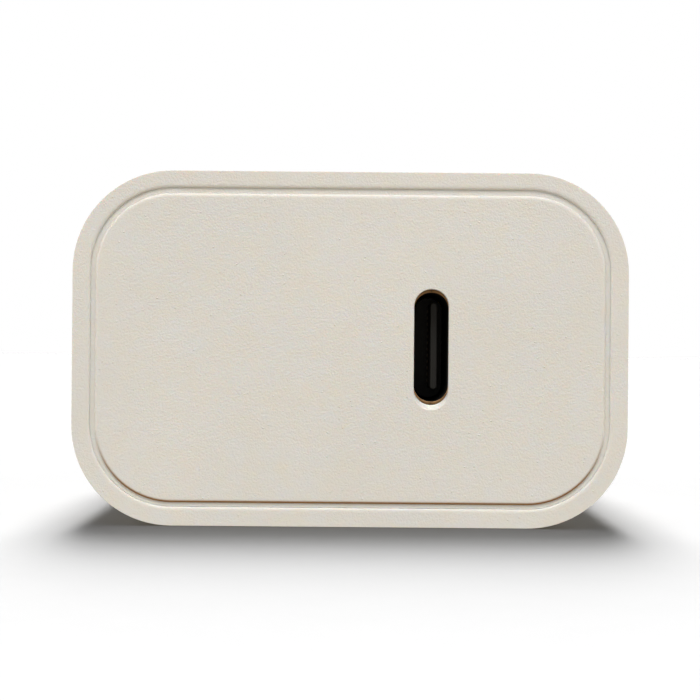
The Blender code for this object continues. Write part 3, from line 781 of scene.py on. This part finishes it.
def makeRearCover(plastic):
    thickness = rear["thickness"]
    panel = addBlock("rearPanel", (-halfWide, -thickness, -halfTall), (halfWide, 0, halfTall))
    pickEdges(panel, along(1))
    bevel(cornerRadius, housing["cornerSegments"])
    pickFaces(panel, facing(1, -1))
    inset(rear["skirtInset"])
    extrude(y=-rear["skirtDepth"])
    inset(rear["skirt"])
    extrude(y=rear["skirtDepth"])
    pickEdges(panel, onLoop(0, 0))
    bevel(rear["wallEdge"], 6)
    pickEdges(panel, onLoop(-thickness, 0))
    bevel(housing["rearEdge"], 3)
    deselectAll()

    slotHalf = plug["bladeThick"] / 2 + rear["slotClearance"]
    slotFloor = plug["pivotY"] - plug["bladeWide"] / 2 - rear["slotClearance"]
    slotEnd = plug["pivotZ"] - plug["reach"] - rear["slotClearance"]
    windowHalf = plug["rotorLength"] / 2 + rear["windowSide"]
    windowLow = plug["pivotZ"] - plug["rotorRadius"] - rear["windowBelow"]
    windowHigh = plug["pivotZ"] + plug["rotorRadius"] + rear["windowAbove"]
    wall = rear["slotWall"]
    for side in (-1, 1):
        middle = side * plug["spacing"] / 2
        pocket = addBlock(
            "pocketWalls",
            (middle - slotHalf - wall, slotFloor - wall, slotEnd - 0.0004),
            (middle + slotHalf + wall, -thickness + 0.0001, windowLow + 0.0004),
        )
        combine(panel, pocket, "UNION")
    window = addBlock(
        "windowCutter", (-windowHalf, -rear["windowDepth"], windowLow), (windowHalf, past, windowHigh)
    )
    combine(panel, window, "DIFFERENCE")
    for side in (-1, 1):
        middle = side * plug["spacing"] / 2
        slot = addBlock(
            "slotCutter",
            (middle - slotHalf, slotFloor, slotEnd),
            (middle + slotHalf, past, windowLow + 0.001),
        )
        pickEdges(slot, along(1))
        bevel(rear["slotCorner"], 4)
        deselectAll()
        combine(panel, slot, "DIFFERENCE")
    innerEdge = plug["spacing"] / 2 - slotHalf + 0.0001
    recessFloor = -rear["recessDepth"]
    recess = addBlock(
        "recessCutter",
        (-innerEdge, recessFloor, slotEnd),
        (innerEdge, past, slotEnd + rear["recessTall"]),
    )
    pickEdges(recess, lambda a, b: near(a.y, recessFloor) and near(b.y, recessFloor))
    bevel(rear["recessRound"], 5)
    deselectAll()
    combine(panel, recess, "DIFFERENCE")

    def onMouth(a, b):
        inPlane = near(a.y, 0) and near(b.y, 0)
        return inPlane and min(insetOf(a), insetOf(b)) > rear["mouthInset"]

    pickEdges(panel, onMouth, creased=True)
    bevel(rear["mouthEdge"], 3)
    print("rear cover done")
    finishPiece(panel, "charger", ["rear_cover"], [plastic])


def makeCarrier(plastic):
    y, z = plug["pivotY"], plug["pivotZ"]
    half = plug["rotorLength"] / 2
    radius = plug["rotorRadius"]
    rotor = addRod("plugCarrier", radius, (-half, y, z), (half, y, z), 96)
    pickEdges(rotor, lambda a, b: near(abs(a.x), half) and near(a.x, b.x))
    bevel(plug["rotorEdge"], 4)
    deselectAll()
    # the quarter that shows when the blades are out is flat, with a small chamfer
    squareHalf = half - 0.00002
    square = addBlock("flatQuarter", (-squareHalf, y, z), (squareHalf, y + radius, z + radius))
    pickEdges(square, lambda a, b: along(0)(a, b) and near(a.y, y + radius) and near(a.z, z + radius))
    bevel(plug["flatChamfer"], 4)

    def onOuterEnd(a, b):
        ends = near(abs(a.x), squareHalf) and near(a.x, b.x)
        return ends and min(a.y + a.z, b.y + b.z) > y + z + 0.001

    pickEdges(square, onOuterEnd)
    bevel(plug["rotorEdge"], 4)
    deselectAll()
    combine(rotor, square, "UNION")
    low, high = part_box("plug_carrier")
    trunnions = addRod("trunnions", plug["trunnionRadius"], (low.x, y, z), (high.x, y, z))
    combine(rotor, trunnions, "UNION")
    halfSlot = plug["tangThick"] / 2 + plug["tangFit"]
    halfTang = plug["tangWide"] / 2 + plug["tangFit"]
    for side in (-1, 1):
        middle = side * plug["spacing"] / 2
        cutter = addBlock(
            "tangCutter",
            (middle - halfSlot, y - radius - past, z - halfTang),
            (middle + halfSlot, y + radius + past, z + halfTang),
        )
        combine(rotor, cutter, "DIFFERENCE")
    print("plug carrier done")
    finishPiece(rotor, "plug", ["plug_carrier"], [plastic])


def makeBlade(side, name, cadName, metal):
    y, z = plug["pivotY"], plug["pivotZ"]
    middle = side * plug["spacing"] / 2
    halfThick = plug["bladeThick"] / 2
    halfBlade = plug["bladeWide"] / 2
    tipY = y + plug["reach"]
    blade = addBlock(
        name,
        (middle - halfThick, y + plug["shoulder"], z - halfBlade),
        (middle + halfThick, tipY, z + halfBlade),
    )
    pickEdges(blade, lambda a, b: along(0)(a, b) and near(a.y, tipY))
    bevel(plug["tipRadius"], 8)
    deselectAll()
    hole = addRod(
        "holeCutter",
        plug["holeRadius"],
        (middle - past, plug["holeY"], z),
        (middle + past, plug["holeY"], z),
    )
    combine(blade, hole, "DIFFERENCE")

    def onOutline(a, b):
        flat = near(abs(a.x - middle), halfThick) and near(a.x, b.x)
        return flat and not (near(a.y, y + plug["shoulder"]) and near(b.y, a.y))

    pickEdges(blade, onOutline, creased=True)
    bevel(plug["edge"], 4)
    deselectAll()
    halfTang = plug["tangThick"] / 2
    rootY = y - plug["tangReach"]
    tang = addBlock(
        "tang",
        (middle - halfTang, rootY, z - plug["tangWide"] / 2),
        (middle + halfTang, y + plug["shoulder"] + 0.0001, z + plug["tangWide"] / 2),
    )
    pickEdges(tang, lambda a, b: along(0)(a, b) and near(a.y, rootY))
    bevel(plug["tangEdge"], 3)
    deselectAll()
    combine(blade, tang, "UNION")
    finishPiece(blade, "plug", [cadName], [metal])
    print(name, "done")


def dressInside(metals):
    # each hidden node takes the finish of its slot
    finishes = {}
    for row in frame["record"]["subparts"]:
        node = frame["nodes"][row["node"]]
        slotName = row["material_slot"]
        if slotName not in finishes:
            finishes[slotName] = metals.get(slotName) or makeMattPart(slotName)
        node.data.materials.clear()
        node.data.materials.append(finishes[slotName])
    print("inside dressed in", len(finishes), "finishes")


studio = {
    "cameraPlace": (-0.00001, -0.1661, -0.00004),
    "lens": 85,
    "roll": 0.49,
    "floorTone": (0.22, 0.22, 0.22),
    "above": (0.28, 0.28, 0.28),
    "below": (0.56, 0.51, 0.42),
}
# bearing from the front, height and spread in degrees, and strength, of lights for the floor only
floorLights = (
    (180, 80, 22, 1.45),
    (180, 69, 22, 3.52),
    (180, 59, 22, 3.67),
    (180, 49, 22, 3.82),
    (180, 40, 22, 2.15),
    (180, 31, 22, 1.45),
    (-70, 35, 30, 0.75),
    (70, 35, 30, 0.75),
)
# width and height, bearing from the front, height in degrees, distance, watts
softboxes = {
    "mainBox": ((0.8, 0.4), 0, 61, 1.2, 11.2),
    "leftBox": ((0.5, 0.5), -56, 20, 1.2, 4.4),
    "rightBox": ((0.5, 0.5), 56, 20, 1.2, 3.8),
    "leftEdge": ((0.4, 0.6), -124, 8, 1.2, 4.8),
    "rightEdge": ((0.4, 0.6), 124, 8, 1.2, 4.8),
    "backBox": ((0.8, 0.4), 180, 12, 1.2, 5.0),
}


def addSoftbox(name, size, bearing, height, distance, watts):
    # an area light that looks at the middle of the charger
    light = bpy.data.lights.new(name, "AREA")
    light.shape = "RECTANGLE"
    light.size, light.size_y = size
    light.energy = watts
    lamp = bpy.data.objects.new(name, light)
    bpy.context.scene.collection.objects.link(lamp)
    turn, rise = radians(bearing), radians(height)
    lamp.location = (
        distance * sin(turn) * cos(rise),
        frontY / 2 - distance * cos(turn) * cos(rise),
        distance * sin(rise),
    )
    lamp.rotation_euler = (radians(90 - height), 0, turn)
    return lamp


def makeFloor():
    deselectAll()
    bpy.ops.mesh.primitive_plane_add(size=8, location=(0, 0, floorZ))
    floor = bpy.context.object
    floor.name = "floor"
    made, tree, shader = newMaterial("floorPaper")
    tone = studio["floorTone"]
    fibre = noise(tree, objectPlace(tree), 0.004, 3)
    paper = ramp(tree, fibre, ((0.3, tuple(c * 0.99 for c in tone)), (0.7, tone)))
    tree.links.new(paper, shader.inputs["Base Color"])
    shader.inputs["Roughness"].default_value = 1.0
    shader.inputs["Specular IOR Level"].default_value = 0.0
    floor.data.materials.append(made)
    floor.visible_diffuse = False
    floor.visible_glossy = False
    return floor


def makeLights(floor):
    # the floor has soft lights of its own, mostly from behind, and the softboxes leave it out
    onlyFloor = bpy.data.collections.new("onlyFloor")
    onlyFloor.objects.link(floor)
    notFloor = bpy.data.collections.new("notFloor")
    notFloor.objects.link(floor)
    notFloor.collection_objects[0].light_linking.link_state = "EXCLUDE"
    for bearing, height, spread, strength in floorLights:
        light = bpy.data.lights.new("floorLight", "SUN")
        light.energy = strength
        light.angle = radians(spread)
        lamp = bpy.data.objects.new("floorLight", light)
        bpy.context.scene.collection.objects.link(lamp)
        lamp.rotation_euler = (radians(90 - height), 0, radians(bearing))
        lamp.light_linking.receiver_collection = onlyFloor
    for name, settings in softboxes.items():
        addSoftbox(name, *settings).light_linking.receiver_collection = notFloor
    print("lights done")


def makeTent():
    # white to the camera, and a dim pale tent with a warm lower half to everything else
    world = bpy.data.worlds.new("tent")
    bpy.context.scene.world = world
    world.use_nodes = True
    tree = world.node_tree
    backdrop = tree.nodes["Background"]
    backdrop.inputs["Color"].default_value = (1, 1, 1, 1)
    ambient = addNode(tree, "ShaderNodeBackground")
    parts = addNode(tree, "ShaderNodeSeparateXYZ")
    tree.links.new(addNode(tree, "ShaderNodeTexCoord").outputs["Generated"], parts.inputs["Vector"])
    height = remap(tree, parts.outputs["Z"], -1, 1, 0, 1)
    tone = ramp(tree, height, ((0.45, studio["below"]), (0.53, studio["above"])))
    tree.links.new(tone, ambient.inputs["Color"])
    mixer = addNode(tree, "ShaderNodeMixShader")
    tree.links.new(addNode(tree, "ShaderNodeLightPath").outputs["Is Camera Ray"], mixer.inputs["Fac"])
    tree.links.new(ambient.outputs["Background"], mixer.inputs[1])
    tree.links.new(backdrop.outputs["Background"], mixer.inputs[2])
    tree.links.new(mixer.outputs["Shader"], tree.nodes["World Output"].inputs["Surface"])


def makeCamera():
    view = bpy.data.cameras.new("camera")
    view.lens = studio["lens"]
    view.sensor_width = 36
    view.clip_start = 0.01
    view.clip_end = 20
    camera = bpy.data.objects.new("camera", view)
    bpy.context.scene.collection.objects.link(camera)
    camera.location = studio["cameraPlace"]
    camera.rotation_euler = (radians(90), -radians(studio["roll"]), 0)
    bpy.context.scene.camera = camera
    bpy.context.scene.view_settings.view_transform = "Standard"


def main():
    plastic = makeMouldedPlastic("shellPlastic", shellPlastic)
    plugPlastic = makeMouldedPlastic("plugPlastic", shellPlastic)
    steel = makeBrushedMetal("portSteel", "stainless")
    nickel = makeBrushedMetal("bladeNickel", "nickel")
    goldPaintedShade = makeBrushedMetal("contactGoldPaintedShade", "goldPaintedShade")
    metals = {
        "shell_plastic": plastic,
        "plug_plastic": plugPlastic,
        "blade_metal": nickel,
        "steel": steel,
        "spring_bronze": makeBrushedMetal("springBronze", "bronze"),
        "copper": makeBrushedMetal("windingCopper", "bronze"),
        "capacitor_can": makeBrushedMetal("capacitorCan", "aluminium"),
        "heat_metal": makeBrushedMetal("spreaderMetal", "aluminium"),
        "board": makeBoard(),
    }
    blackPlastic = makeMattPart("port_plastic")
    metals["port_plastic"] = blackPlastic
    dressInside(metals)
    makeHousing(plastic)
    makeFrontCover(plastic, makeMouldedPlastic("groovePaintedShadePlastic", shellPlastic, groovePaintedShade))
    makePortShell(makeBrushedMetal("shellRimPaintedShade", "rimPaintedShade"), blackPlastic)
    makePortTongue(blackPlastic)
    makePortContacts(goldPaintedShade)
    makeRearCover(plastic)
    makeCarrier(plugPlastic)
    makeBlade(-1, "bladeLeft", "blade_left", nickel)
    makeBlade(1, "bladeRight", "blade_right", nickel)
    makeLights(makeFloor())
    makeTent()
    makeCamera()


main()
print("charger finished")
